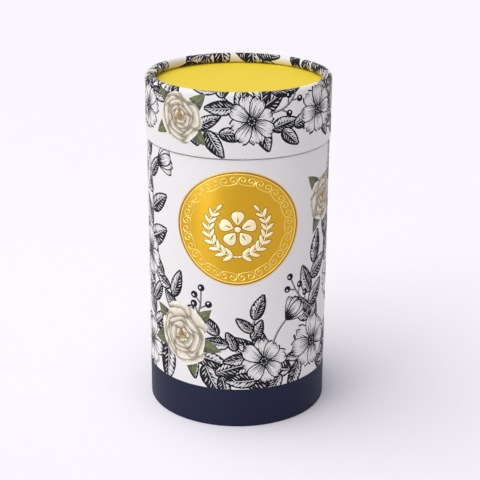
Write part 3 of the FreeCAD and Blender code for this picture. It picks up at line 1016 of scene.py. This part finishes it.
def print_values(tree):
    """Along, across, seed and shade of the printed shape."""
    node = tree.nodes.new("ShaderNodeAttribute")
    node.attribute_name = PRINT_LAYER
    parts = tree.nodes.new("ShaderNodeSeparateColor")
    tree.links.new(node.outputs["Color"], parts.inputs["Color"])
    return [Signal(tree, socket) for socket in (*parts.outputs, node.outputs["Alpha"])]


ART_PAPER = srgb(236, 234, 232)
INK_DARK, INK_LIGHT = srgb(20, 20, 30), srgb(222, 220, 219)
# Lanes of strokes across half a petal and along a leaf, and how far a leaf's lanes lean back to its edge
PETAL_LANES, LEAF_LANES, LEAF_SLANT = 3.6, 8.5, 1.8
# Where a petal's dark base ends, and how heavy the strokes are at a leaf's start
DARK_BASE, LEAF_WEIGHT = 0.2, 1.75
# Pale dashes in a leaf's dark half: first place and spread of their middles, half length and width
DASH_FIRST, DASH_SPREAD, DASH_HALF, DASH_WIDTH = 0.3, 0.5, 0.34, 0.42
RIB_PLACE, RIB_HALF = 0.09, 0.06
# Bark: rings on a twig, their slant and width, and where the twig's dark side ends
BARK_RINGS, BARK_SLANT, BARK_WIDTH, BARK_SIDE = 24.0, 0.8, 0.3, -0.2
# Cream petals: from warm to pale, at times greenish, deep in the throat and lightest at the tip, with veins
CREAM_WARM, CREAM_PALE, CREAM_GREEN = srgb(224, 211, 192), srgb(245, 237, 217), srgb(222, 219, 196)
CREAM_THROAT, CREAM_TIP, CREAM_VEIN = srgb(172, 156, 118), srgb(247, 241, 226), srgb(166, 150, 116)
CREAM_WASH, CREAM_SHADE = srgb(198, 190, 164), srgb(100, 86, 60)
GREENISH, THROAT, LIGHT_TIP = (0.6, 0.9), (0.0, 0.75), (0.8, 1.0)
CREAM_VEINS, VEIN_EDGE, VEIN_RUN, VEIN_COVER = 5.0, (0.3, 0.5), (0.9, 0.2), 0.3
# Olive leaves: a dark and a light half, at times greyed, another green at the tip, and pale veins
OLIVE_DARK, OLIVE_LIGHT, OLIVE_GREY = srgb(86, 90, 66), srgb(136, 141, 104), srgb(78, 80, 72)
OLIVE_TIP, OLIVE_VEIN = srgb(104, 110, 76), srgb(162, 164, 128)
OLIVE_WASH, OLIVE_DEEP = srgb(76, 84, 68), srgb(48, 52, 38)
HALVES, GREYED, GREY_COVER, GREEN_TIP = (-0.3, 0.2), (0.5, 1.0), 0.6, (0.45, 1.0)
OLIVE_VEINS, OLIVE_SLANT, OLIVE_VEIN_HALF, OLIVE_RIB_HALF, OLIVE_COVER = 6.0, 1.5, 0.06, 0.07, 0.4


def ink_petal_colour(tree):
    """Strokes that taper from a dark base, and shorter ones from the tip."""
    along, across, seed, _ = print_values(tree)
    strokes, _, _ = placed(tree, ENGRAVED_STROKES, {
        "Lanes": across * PETAL_LANES + seed * PETAL_START,
        "Out": along,
        "Seed": seed,
        "Shortest": 0.4,
        "Spread": 0.5,
        "Weight": 1.25,
        "Far start": 0.76,
        "Far weight": 3.2,
        "Far draw": TIP_DRAW,
    })
    return strokes.either(along < DARK_BASE).tint(ART_PAPER, INK_DARK)


def ink_leaf_colour(tree):
    """One half is solid ink with pale dashes, the other pale with strokes from its rib and edge."""
    along, across, seed, _ = print_values(tree)
    side = across.size()
    strokes, lane, off_middle = placed(tree, ENGRAVED_STROKES, {
        "Lanes": along * LEAF_LANES - side * LEAF_SLANT + seed * LEAF_START,
        "Out": side,
        "Seed": seed,
        "Shortest": 0.4,
        "Spread": 0.55,
        "Weight": along.less_from(LEAF_WEIGHT),
        "Far start": 0.7,
        "Far weight": 4.5,
        "Far draw": EDGE_DRAW,
    })
    dash_place = chance(lane + seed * DASH_DRAW) * DASH_SPREAD + DASH_FIRST
    dash = ((side - dash_place).size() / DASH_HALF).less_from(1.0) * DASH_WIDTH
    solid = (off_middle < dash).less_from(1.0)
    dark_half = across < 0.0
    inked = strokes.either(dark_half) * solid.either(dark_half.less_from(1.0))
    rib = (across - RIB_PLACE).size() < RIB_HALF
    return (inked * rib.less_from(1.0)).tint(INK_LIGHT, INK_DARK)


def ink_twig_colour(tree):
    """Bark rings, and ink all along one side."""
    along, across, seed, _ = print_values(tree)
    bark = (along * BARK_RINGS + across * BARK_SLANT + seed * TWIG_START).fract() < BARK_WIDTH
    return bark.either(across < BARK_SIDE).tint(INK_LIGHT, INK_DARK)


def cream_colour(tree):
    """A painted cream petal."""
    along, across, seed, shade = print_values(tree)
    warm = chance(seed * WARM_DRAW).tint(CREAM_WARM, CREAM_PALE)
    light = chance(seed * GREEN_DRAW).fade(*GREENISH).tint(warm, CREAM_GREEN)
    body = along.fade(*THROAT).tint(CREAM_THROAT, light)
    tipped = along.fade(*LIGHT_TIP).tint(body, CREAM_TIP)
    veins = (across * CREAM_VEINS).off_middle().fade(*VEIN_EDGE) * along.fade(*VEIN_RUN) * VEIN_COVER
    return placed(tree, WATERCOLOUR, {
        "Colour": veins.tint(tipped, CREAM_VEIN),
        "Wash colour": CREAM_WASH,
        "Shade colour": CREAM_SHADE,
        "Wash scale": 420.0,
        "Wash start": 0.45,
        "Wash full": 0.8,
        "Shade": shade,
        "Shade strength": 0.17,
        "Shade limit": 0.74,
    })[0]


def olive_colour(tree):
    """A painted green leaf."""
    along, across, seed, shade = print_values(tree)
    side = across.size()
    half = across.fade(*HALVES).tint(OLIVE_DARK, OLIVE_LIGHT)
    greyed = (chance(seed * GREY_DRAW).fade(*GREYED) * GREY_COVER).tint(half, OLIVE_GREY)
    painted = placed(tree, WATERCOLOUR, {
        "Colour": along.fade(*GREEN_TIP).tint(greyed, OLIVE_TIP),
        "Wash colour": OLIVE_WASH,
        "Shade colour": OLIVE_DEEP,
        "Wash scale": 500.0,
        "Wash start": 0.4,
        "Wash full": 0.75,
        "Shade": shade,
        "Shade strength": 0.16,
        "Shade limit": 0.8,
    })[0]
    vein = (along * OLIVE_VEINS - side * OLIVE_SLANT).off_middle() < OLIVE_VEIN_HALF
    return (vein.either(side < OLIVE_RIB_HALF) * OLIVE_COVER).tint(painted, OLIVE_VEIN)


def print_finish(name, colour, depth=0.06):
    """A print's material, more matt than the plain papers."""
    return surface(name, colour, depth=depth, specular=0.12)


PRINT = {
    BLANK: print_finish("white art paper", ART_PAPER),
    INK: print_finish("ink line", INK_DARK, depth=0.25),
    INK_PETAL: print_finish("engraved petal", ink_petal_colour),
    INK_LEAF: print_finish("engraved leaf", ink_leaf_colour),
    INK_TWIG: print_finish("engraved twig", ink_twig_colour),
    CREAM: print_finish("cream petal", cream_colour),
    OLIVE: print_finish("olive leaf", olive_colour),
    POLLEN: print_finish("golden pollen", srgb(166, 122, 40), depth=0.3),
}
NAVY = surface("navy paper", srgb(29, 32, 59), depth=0.1, specular=0.15)
YELLOW = surface("yellow paper", srgb(235, 208, 53), specular=0.15)
BOARD = surface("grey board", srgb(150, 143, 132), depth=0.2, fibre=2400.0)
LINING = surface("white lining paper", srgb(236, 234, 230))
ALUMINIUM = surface("aluminium lining paper", srgb(226, 227, 230), roughness=0.5, metallic=0.55)
GOLD = surface("gold foil", srgb(206, 160, 32), roughness=0.3, metallic=1.0, depth=0.05, coat=0.22)
# Deep gold: the label's grooves, and painted shade round its raised scrolls, wreath and flower
DEEP_GOLD_AND_PAINTED_SHADE = surface("deep gold and painted shade", srgb(156, 110, 20), roughness=0.5, metallic=0.5, depth=0.05)
PALE_GOLD = surface("pale gold line", srgb(252, 218, 118), roughness=0.35, metallic=0.6, depth=0.05)
CREAM_GOLD = surface("cream gold wreath", srgb(255, 243, 196), roughness=0.4, metallic=0.3, depth=0.05)

NODE_MATERIALS = dict(
    lid_tube=BOARD,
    lid_top_paper=YELLOW,
    lid_top_board=BOARD,
    lid_under_paper=LINING,
    body_tube=BOARD,
    neck_tube=BOARD,
    base_lining=ALUMINIUM,
    base_board=BOARD,
    base_paper=NAVY,
)
for node, material in NODE_MATERIALS.items():
    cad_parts[node].material_slots[0].material = material


# Printed wraps

def printed(name, design, profile, start, radius, body, replaced):
    """A printed paper with its materials, on its body."""
    piece, finishes = rolled(name, design, profile, start, radius)
    dressed(piece, [PRINT[finish] for finish in FINISHES], body, "printed_paper", replaced)
    piece.data.polygons.foreach_set("material_index", finishes)


LID_LOW = SEAM + SEAM_EASE
lid_profile = [
    (LID_INSIDE, LID_FOLD_END),
    (LID_INSIDE, LID_LOW),
    *arc((LID_RADIUS - LID_FOLD, LID_LOW + LID_FOLD), LID_FOLD, -90, 0, LID_FOLD_STEPS),
    *arc((LID_RADIUS - CURL, RIM_TOP - CURL), CURL, 0, 270, CURL_STEPS),
]
# Paper that is turned in, under the lid's edge and round its fold, before the wall begins
fold_paper = (math.pi / 2 - 1) * LID_FOLD
turned_in = (LID_FOLD_END - LID_LOW) + (LID_RADIUS - LID_FOLD - LID_INSIDE) + fold_paper
lid_design = Design(LID_SEED)
for shift in (0, math.pi * LID_RADIUS):
    draw_layout(lid_design, LID_LAYOUT, shift)
printed("lid_print", lid_design, lid_profile, -turned_in, LID_RADIUS, "lid", "lid_wrap")

BODY_HIGH = SHOULDER - SEAM_EASE
body_profile = [
    (BODY_RADIUS, BAND_TOP),
    *arc((BODY_RADIUS - FOLD, BODY_HIGH - FOLD), FOLD, 0, 90, FOLD_STEPS),
    (NECK_RADIUS, BODY_HIGH),
]
body_design = Design(BODY_SEED)
for shift in (0, math.pi * BODY_RADIUS):
    draw_layout(body_design, BODY_LAYOUT, shift)
draw_layout(body_design, BACK_LAYOUT, math.pi * BODY_RADIUS)
printed("body_print", body_design, body_profile, 0.0, BODY_RADIUS, "tube", "body_wrap")


# Turned papers

foot_band_profile = [
    (BASE_RADIUS, BASE_TOP),
    (BASE_RADIUS, 0.0),
    *arc((BODY_RADIUS - FOLD, FOLD), FOLD, -90, 0, FOLD_STEPS),
    (BODY_RADIUS, BAND_TOP),
    (BOARD_RADIUS, BAND_TOP),
    *arc((BODY_RADIUS - FOLD, FOLD), FOLD - PAPER, 0, -90, FOLD_STEPS),
    (NECK_RADIUS, PAPER),
    (NECK_RADIUS, BASE_TOP),
]
dressed(turned("foot_band", foot_band_profile), [NAVY], "tube", "navy_paper", "base_band")

neck_paper_profile = [
    (NECK_RADIUS, SHOULDER),
    (NECK_FACE, SHOULDER),
    *arc((NECK_FACE - FOLD, NECK_TOP - FOLD), FOLD, 0, 90, FOLD_STEPS),
    (BORE, NECK_TOP),
    (BORE, LINING_TOP),
    (LINING_RADIUS, LINING_TOP),
    (LINING_RADIUS, NECK_TOP - PAPER),
    *arc((NECK_FACE - FOLD, NECK_TOP - FOLD), FOLD - PAPER, 90, 0, FOLD_STEPS),
]
dressed(turned("neck_paper", neck_paper_profile), [LINING], "tube", "white_paper", "neck_facing")

inside_foil_profile = [
    (BORE, FLOOR_TOP),
    (LINING_RADIUS, FLOOR_TOP),
    (LINING_RADIUS, LINING_TOP),
    (BORE, LINING_TOP),
]
dressed(turned("inside_foil", inside_foil_profile), [ALUMINIUM], "tube", "foil_lining", "neck_lining")

lid_paper_profile = [
    (LID_INSIDE, LID_FOLD_END),
    (LID_BOARD_INSIDE, LID_FOLD_END),
    (LID_BOARD_INSIDE, DISC_UNDER),
    (LID_INSIDE, DISC_UNDER),
]
dressed(turned("lid_paper", lid_paper_profile), [LINING], "lid", "white_paper", "lid_lining")


# Label: foil with a dark groove, a raised line, a ring of scrolls, a wreath and a flower,
# shaped flat in millimetres and then laid on the round wall

# Width and rise of each step of the foil's face, from its edge inwards
LABEL_EDGE = [(0.12, FOIL), (0.28, 0.0)]
LABEL_GROOVE = [(0.06, -0.06), (0.34, 0.0), (0.06, 0.06)]
LABEL_LINE = [(0.08, 0.09), (0.24, 0.0), (0.08, -0.09)]
LABEL_FIELD = [(2.4, 0.0)] * 8
FOIL_MATERIALS = [GOLD, DEEP_GOLD_AND_PAINTED_SHADE, PALE_GOLD]
FOIL_STEPS = [(GOLD, LABEL_EDGE), (DEEP_GOLD_AND_PAINTED_SHADE, LABEL_GROOVE), (PALE_GOLD, LABEL_LINE), (GOLD, LABEL_FIELD)]

# Scrolls: half widths of the pale wire and of the deep gold one round it, which is painted shade beside the
# raised wire, and how far the latter is sunk
SCROLL_SHARE = 0.845
SCROLL_RADIUS = SCROLL_SHARE * LABEL_RADIUS
SCROLL_CELLS = 18
SCROLL_LINE, SCROLL_PAINTED_SHADE, SCROLL_PAINTED_SHADE_SUNK = 0.17, 0.38, 0.27
# A scroll's eyes lie this far along from its middle and out from the ring
EYE_ALONG, EYE_OUT = 1.62, 0.2
# Its curl starts at this angle and reach from the eye, turns this far and ends at this reach
CURL_ANGLE, CURL_TURN = -55, 430
CURL_REACH, CURL_END, CURL_EASE = 1.85, 0.35, 0.8
CURL_POINTS = 24
SCROLL_DEPTH = -1.72
DOT_INSIDE, DOT_OUTSIDE, DOT_HALF = -1.35, 1.45, 0.14

# Wreath: first angle and sweep of each stem in degrees, length and width of its leaves, what they lose up to
# its end, their lean, and length and width of the pieces of the stem
WREATH_RADIUS = 11.2
WREATH_LEAVES = 8
WREATH_START, WREATH_SWEEP = -80, 122
WREATH_LEAF, WREATH_TAPER, WREATH_LEAN = (4.4, 1.75), (1.0, 0.45), 0.7
WREATH_STEM = 3.4, 0.5
LEAF_SWELL, STEM_SWELL = dict(base_share=0.7, tip_share=0.8), dict(base_share=0.3, tip_share=0.3)
FLOWER_PETALS = 5
FLOWER_START, FLOWER_END, FLOWER_WIDTH = 1.7, 7.4, 5.2
FLOWER_SWELL = dict(base_share=0.85, tip_share=0.4, notch=0.1)
GROOVE_SWELL = dict(base_share=0.6, tip_share=0.9)
GROOVE_START, GROOVE_END, GROOVE_WIDTH = 2.7, 5.4, 0.5
BUTTON_RADIUS = 1.25
# Levels of the grooves and the button above the foil, width of the deep gold edge that is painted shade round
# each raised shape, and rise of both golds
GROOVE_LEVEL, BUTTON_LEVEL = 0.28, 0.16
WREATH_PAINTED_SHADE = 0.22
EDGE_RISE, WREATH_RISE = 0.1, 0.26
WREATH_ROWS, WREATH_COLUMNS = 8, 6


def foil_disc():
    """The label's foil: a disc inset step by step, with a flat back."""
    deselect()
    bpy.ops.mesh.primitive_circle_add(
        vertices=TURN_STEPS, radius=LABEL_RADIUS * MM, fill_type="NGON", rotation=(math.pi / 2, 0, 0)
    )
    disc = named("label_foil")
    bpy.ops.object.transform_apply(location=False, rotation=True, scale=False)
    bpy.ops.object.mode_set(mode="EDIT")
    bpy.ops.mesh.select_all(action="SELECT")
    radius = LABEL_RADIUS
    rings = []
    for material, steps in FOIL_STEPS:
        start = radius
        for width, rise in steps:
            bpy.ops.mesh.inset(thickness=width * MM, depth=rise * MM)
            radius -= width
        rings.append((radius, start, FOIL_MATERIALS.index(material)))
    bpy.ops.mesh.poke()
    # The back is a copy of the face, pressed flat and turned over
    bpy.ops.mesh.select_all(action="SELECT")
    bpy.ops.mesh.duplicate()
    bpy.ops.transform.resize(value=(1, 0, 1), center_override=(0, 0, 0))
    bpy.ops.mesh.flip_normals()
    merge_points()
    bpy.ops.object.mode_set(mode="OBJECT")
    for material in FOIL_MATERIALS:
        disc.data.materials.append(material)
    for polygon in disc.data.polygons:
        distance = Vector((polygon.center.x, polygon.center.z)).length / MM
        for low, high, material_number in rings:
            if low < distance < high:
                polygon.material_index = material_number
    return disc


def ring_point(along, out):
    """A spot on the scroll ring: millimetres along it and out from its middle."""
    angle = along / SCROLL_RADIUS
    return (SCROLL_RADIUS + out) * math.sin(angle), (SCROLL_RADIUS + out) * math.cos(angle)


def scroll_lines():
    """In each cell of the ring a bow whose two ends curl up and in, and a dot on both sides of each join."""
    cell = math.tau * SCROLL_RADIUS / SCROLL_CELLS
    half = [(0.0, SCROLL_DEPTH)]
    for share in np.linspace(0, 1, CURL_POINTS):
        angle = math.radians(CURL_ANGLE + CURL_TURN * share)
        reach = CURL_REACH + (CURL_END - CURL_REACH) * share**CURL_EASE
        half.append((EYE_ALONG + reach * math.cos(angle), EYE_OUT + reach * math.sin(angle)))
    bow = [(-along, out) for along, out in reversed(half[1:])] + half
    lines = []
    for number in range(SCROLL_CELLS):
        lines.append([ring_point((number + 0.5) * cell + along, out) for along, out in bow])
        for out in (DOT_INSIDE, DOT_OUTSIDE):
            lines.append([ring_point(number * cell + along, out) for along in (-DOT_HALF, DOT_HALF)])
    return lines


def scroll_ring(name, material, line, sunk):
    """The ring's lines as round wires of the given half width, sunk into the foil by the given depth."""
    curve = bpy.data.curves.new(name, "CURVE")
    curve.dimensions = "3D"
    curve.bevel_depth = line * MM
    curve.bevel_resolution = 1
    curve.use_fill_caps = True
    for points in scroll_lines():
        spline = curve.splines.new("POLY")
        spline.points.add(len(points) - 1)
        for point, (x, z) in zip(spline.points, points):
            point.co = (x * MM, (sunk - FOIL) * MM, z * MM, 1.0)
    ring = linked(name, curve)
    deselect()
    ring.select_set(True)
    bpy.context.view_layer.objects.active = ring
    bpy.ops.object.convert(target="MESH")
    bpy.ops.object.mode_set(mode="EDIT")
    merge_points()
    bpy.ops.object.mode_set(mode="OBJECT")
    ring.data.materials.append(material)
    return ring


def raised(grid, level, rise):
    """A closed low dome on a plinth over a grid of flat points, as points and faces."""
    rows, columns = grid.shape[:2]
    along, across = np.linspace(0, 1, rows), np.linspace(-1, 1, columns)
    dome = np.sqrt(np.sin(math.pi * along))[:, None] * np.sqrt(1 - across**2)[None, :]
    x, z = grid[..., 0], grid[..., 1]
    front = np.stack([x, -FOIL - level - rise * dome, z], axis=-1).reshape(-1, 3)
    behind = np.stack([x, np.zeros_like(dome), z], axis=-1).reshape(-1, 3)
    number = np.arange(rows * columns).reshape(rows, columns)
    cells = np.stack([number[:-1, :-1], number[1:, :-1], number[1:, 1:], number[:-1, 1:]], axis=-1)
    cells = cells.reshape(-1, 4)
    rim = rim_of(number)
    ahead = np.roll(rim, -1)
    walls = np.stack([rim, rim + rows * columns, ahead + rows * columns, ahead], axis=-1)
    faces = np.concatenate([cells, cells[:, ::-1] + rows * columns, walls])
    return np.concatenate([front, behind]), faces


def wreath_shapes():
    """Flat grids of two leafy stems round a flower, each with its level and whether it is deep gold."""
    shapes = []

    def put(at, angle, size, swell, grow=0.0, level=0.0, deep=False):
        grid = blade(*size, **swell, grow=grow, rows=WREATH_ROWS, columns=WREATH_COLUMNS)
        shapes.append((grid @ rotation(angle).T + np.array(at), level, deep))

    # Each shape sits on a larger deep gold plate, painted shade round it
    def put_with_painted_shade(*shape, **options):
        put(*shape, grow=WREATH_PAINTED_SHADE, deep=True, **options)
        put(*shape, **options)

    for side in (-1, 1):
        for number in range(WREATH_LEAVES + 1):
            share = number / WREATH_LEAVES
            turn = math.radians(WREATH_START + WREATH_SWEEP * share)
            at = (side * WREATH_RADIUS * math.cos(turn), WREATH_RADIUS * math.sin(turn))
            heading = math.pi / 2 + side * turn
            leaf = [size - loss * share for size, loss in zip(WREATH_LEAF, WREATH_TAPER)]
            for lean in (-WREATH_LEAN, WREATH_LEAN) if number < WREATH_LEAVES else (0.0,):
                put_with_painted_shade(at, heading + lean, leaf, LEAF_SWELL)
            put_with_painted_shade(at, heading + math.pi, WREATH_STEM, STEM_SWELL)
    petal = FLOWER_END - FLOWER_START, FLOWER_WIDTH
    groove = GROOVE_END - GROOVE_START, GROOVE_WIDTH
    for number in range(FLOWER_PETALS):
        angle = math.pi / 2 + math.tau * number / FLOWER_PETALS
        way = np.array([math.cos(angle), math.sin(angle)])
        put_with_painted_shade(FLOWER_START * way, angle, petal, FLOWER_SWELL)
        put(GROOVE_START * way, angle, groove, GROOVE_SWELL, level=GROOVE_LEVEL, deep=True)
    button = 2 * BUTTON_RADIUS, 2 * BUTTON_RADIUS
    put_with_painted_shade((-BUTTON_RADIUS, 0), 0.0, button, ROUND, level=BUTTON_LEVEL)
    return shapes


def wreath():
    """The wreath and its flower as one mesh of low domes."""
    points, faces, materials, count = [], [], [], 0
    for grid, level, deep in wreath_shapes():
        some_points, some_faces = raised(grid, level, EDGE_RISE if deep else WREATH_RISE)
        points.append(some_points)
        faces.append(some_faces + count)
        materials += [int(deep)] * len(some_faces)
        count += len(some_points)
    mesh = bpy.data.meshes.new("label_wreath")
    mesh.from_pydata((np.concatenate(points) * MM).tolist(), [], np.concatenate(faces).tolist())
    mesh.materials.append(CREAM_GOLD)
    mesh.materials.append(DEEP_GOLD_AND_PAINTED_SHADE)
    mesh.polygons.foreach_set("material_index", materials)
    return linked("label_wreath", mesh)


def gold_label():
    """The label's parts joined, and laid on the round wall."""
    parts = [
        foil_disc(),
        scroll_ring("label_scrolls", PALE_GOLD, SCROLL_LINE, 0.0),
        # The deep gold wires, wider and sunk round the pale ones, are painted shade
        scroll_ring("label_scroll_painted_shade", DEEP_GOLD_AND_PAINTED_SHADE, SCROLL_PAINTED_SHADE, SCROLL_PAINTED_SHADE_SUNK),
        wreath(),
    ]
    deselect()
    for part in parts:
        part.select_set(True)
    bpy.context.view_layer.objects.active = parts[0]
    bpy.ops.object.join()
    piece = named("gold_label")
    for vertex in piece.data.vertices:
        x, height, z = vertex.co.x / MM, -vertex.co.y / MM, vertex.co.z / MM
        out = 1 + height / BODY_RADIUS
        wall = math.sqrt(BODY_RADIUS**2 - x**2)
        vertex.co = Vector((x * out, -wall * out, z + LABEL_CENTRE)) * MM
    bpy.ops.object.mode_set(mode="EDIT")
    bpy.ops.mesh.select_all(action="SELECT")
    bpy.ops.mesh.normals_make_consistent(inside=False)
    bpy.ops.object.mode_set(mode="OBJECT")
    bpy.ops.object.shade_smooth_by_angle(angle=LABEL_SMOOTH)
    return piece


dressed(gold_label(), [], "tube", "gold_foil", "label")


# Camera, at the photograph's place

CAMERA_BACK, CAMERA_HEIGHT = 507.1 * MM, 254.5 * MM
CAMERA_PITCH, CAMERA_ROLL = math.radians(20.19), 0.005
FOCAL_PIXELS, FRAME_PIXELS, AXIS_PIXEL = 1288.2, 480, 237.77
SENSOR = 36.0
deselect()
bpy.ops.object.camera_add(location=(0, -CAMERA_BACK, CAMERA_HEIGHT))
camera = bpy.context.object
camera.rotation_mode = "QUATERNION"
tilt = Quaternion((1, 0, 0), math.pi / 2 - CAMERA_PITCH)
camera.rotation_quaternion = tilt @ Quaternion((0, 0, 1), CAMERA_ROLL)
camera.data.sensor_width = SENSOR
camera.data.lens = SENSOR * FOCAL_PIXELS / FRAME_PIXELS
camera.data.shift_x = (FRAME_PIXELS / 2 - AXIS_PIXEL) / FRAME_PIXELS
bpy.context.scene.camera = camera


# Floor and light, in metres

FLOOR_SIZE, FLOOR_CLOUD = 12.0, 3.0
# Where the floor's painted light starts to grow towards the back, and where it is lightest
FLOOR_NEAR, FLOOR_FAR = -0.35, 0.15
FLOOR_DIM, FLOOR_CLEAR, FLOOR_BACK_PAINTED_LIGHT = srgb(238, 234, 242), srgb(241, 237, 245), srgb(251, 247, 253)


def floor_colour(tree):
    """A pale floor, a little uneven near by, with painted light that makes it lighter at the back."""
    place = object_place(tree)
    split = tree.nodes.new("ShaderNodeSeparateXYZ")
    plug(split.inputs["Vector"], place)
    # Painted light: the floor's colour grows lighter towards the back
    back = Signal(tree, split.outputs["Y"]).fade(FLOOR_NEAR, FLOOR_FAR)
    near = noise(place, FLOOR_CLOUD).tint(FLOOR_DIM, FLOOR_CLEAR)
    return back.tint(near, FLOOR_BACK_PAINTED_LIGHT)


deselect()
bpy.ops.mesh.primitive_plane_add(size=FLOOR_SIZE)
floor = named("floor")
PALE_FLOOR = surface("pale floor", floor_colour, roughness=0.9, depth=0.01, bump=0.0, specular=0.1)
floor.data.materials.append(PALE_FLOOR)

# Strength of the studio's light on the object, and of its walls where they are seen
AMBIENT, BACKDROP = 0.36, 1.0
STUDIO_WHITE = srgb(252, 250, 255)
world = bpy.data.worlds.new("studio")
bpy.context.scene.world = world
world.use_nodes = True
sky = world.node_tree.nodes["Background"]
sky.inputs["Color"].default_value = (*STUDIO_WHITE, 1.0)
rays = world.node_tree.nodes.new("ShaderNodeLightPath").outputs
camera_ray, glossy_ray, transmission_ray = (
    Signal(world.node_tree, rays[kind]) for kind in ("Is Camera Ray", "Is Glossy Ray", "Is Transmission Ray")
)
seen = camera_ray.either(glossy_ray).either(transmission_ray)
plug(sky.inputs["Strength"], seen * (BACKDROP - AMBIENT) + AMBIENT)


def aimed(kind, name, place, target, energy, **settings):
    """A light at a place, turned to a target."""
    deselect()
    bpy.ops.object.light_add(type=kind, location=place)
    light = named(name)
    light.rotation_mode = "QUATERNION"
    light.rotation_quaternion = (Vector(target) - Vector(place)).to_track_quat("-Z", "Y")
    light.data.energy = energy
    for setting, value in settings.items():
        setattr(light.data, setting, value)
    return light


KEY_LEFT, KEY_HEIGHT, KEY_DISTANCE = math.radians(72), math.radians(66), 2.0
KEY_SOFTNESS = math.radians(72)
BODY_MIDDLE = 0, 0, 0.09
KEY_STRENGTH, SHEEN_WATTS, SOFTBOX_WATTS = 2.2, 7.2, 0.9
SHEEN_PLACE, SHEEN_COLOUR = (-0.57, -0.685, 0.16), (0.62, 0.76, 1.0)
SOFTBOX_PLACE = -0.62, -0.62, 0.3
TALL_BOX = dict(shape="RECTANGLE", size=0.3, size_y=0.5)
key_way = Vector((
    -math.cos(KEY_HEIGHT) * math.sin(KEY_LEFT),
    -math.cos(KEY_HEIGHT) * math.cos(KEY_LEFT),
    math.sin(KEY_HEIGHT),
))
aimed("SUN", "key", key_way * KEY_DISTANCE, (0, 0, 0), KEY_STRENGTH, angle=KEY_SOFTNESS)
# The sheen shows only as a reflection, most of all in the foil
sheen = aimed("AREA", "foil sheen", SHEEN_PLACE, BODY_MIDDLE, SHEEN_WATTS, color=SHEEN_COLOUR, **TALL_BOX)
sheen.visible_diffuse = False
aimed("AREA", "left softbox", SOFTBOX_PLACE, BODY_MIDDLE, SOFTBOX_WATTS, **TALL_BOX)

bpy.context.scene.view_settings.view_transform = "Standard"
